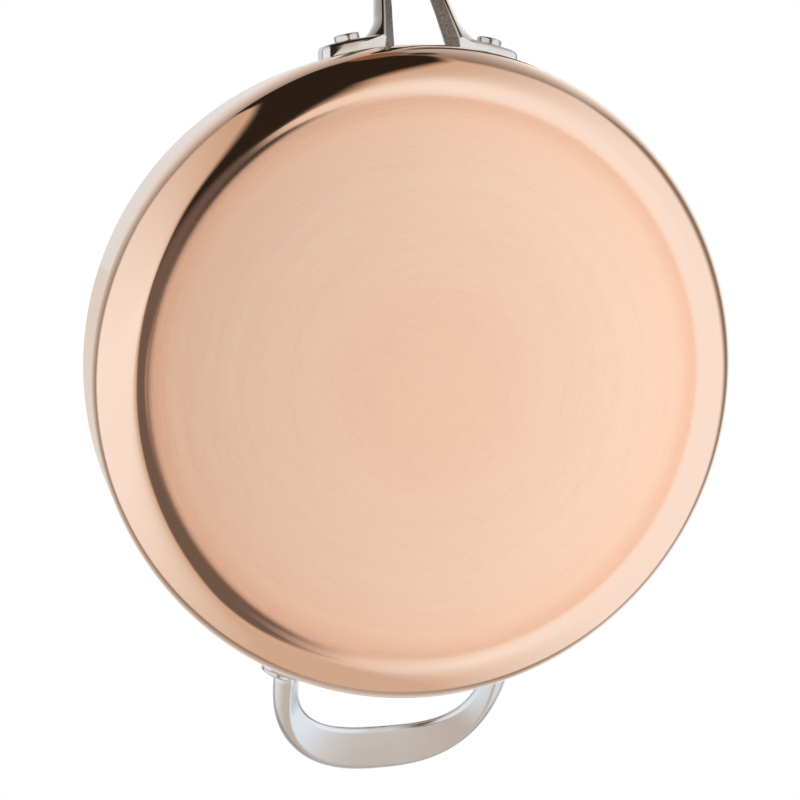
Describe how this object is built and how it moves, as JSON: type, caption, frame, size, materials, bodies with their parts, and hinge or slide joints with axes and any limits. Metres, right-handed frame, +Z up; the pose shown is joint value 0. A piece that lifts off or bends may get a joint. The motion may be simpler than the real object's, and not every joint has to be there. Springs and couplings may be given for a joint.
{
  "type": "saute pan",
  "caption": "Round straight-walled saute pan with a copper outside, aluminium core and steel lining, a forked long handle and a loop handle opposite, both riveted to the wall.",
  "frame": {"origin": "centre of the base's underside, on the plane that the pan stands on", "axes": "+X along the long handle, +Z up out of the pan's mouth, +Y to the left of the long handle as seen from the pan"},
  "size_m": [0.5659, 0.28, 0.1145],
  "materials": {
    "copper": "polished border and wall, finely turned disc on the base",
    "core_aluminium": "satin, seen only as a line along the rim",
    "lining_steel": "finely turned",
    "cast_steel": "polished cast steel",
    "rivet_steel": "satin"
  },
  "bodies": {
    "root": {"copper_shell": "copper", "aluminium_core": "core_aluminium", "steel_lining": "lining_steel", "main_handle": "cast_steel", "helper_handle": "cast_steel", "main_rivet_left": "rivet_steel", "main_rivet_right": "rivet_steel", "helper_rivet_left": "rivet_steel", "helper_rivet_right": "rivet_steel"}
  },
  "joints": []
}
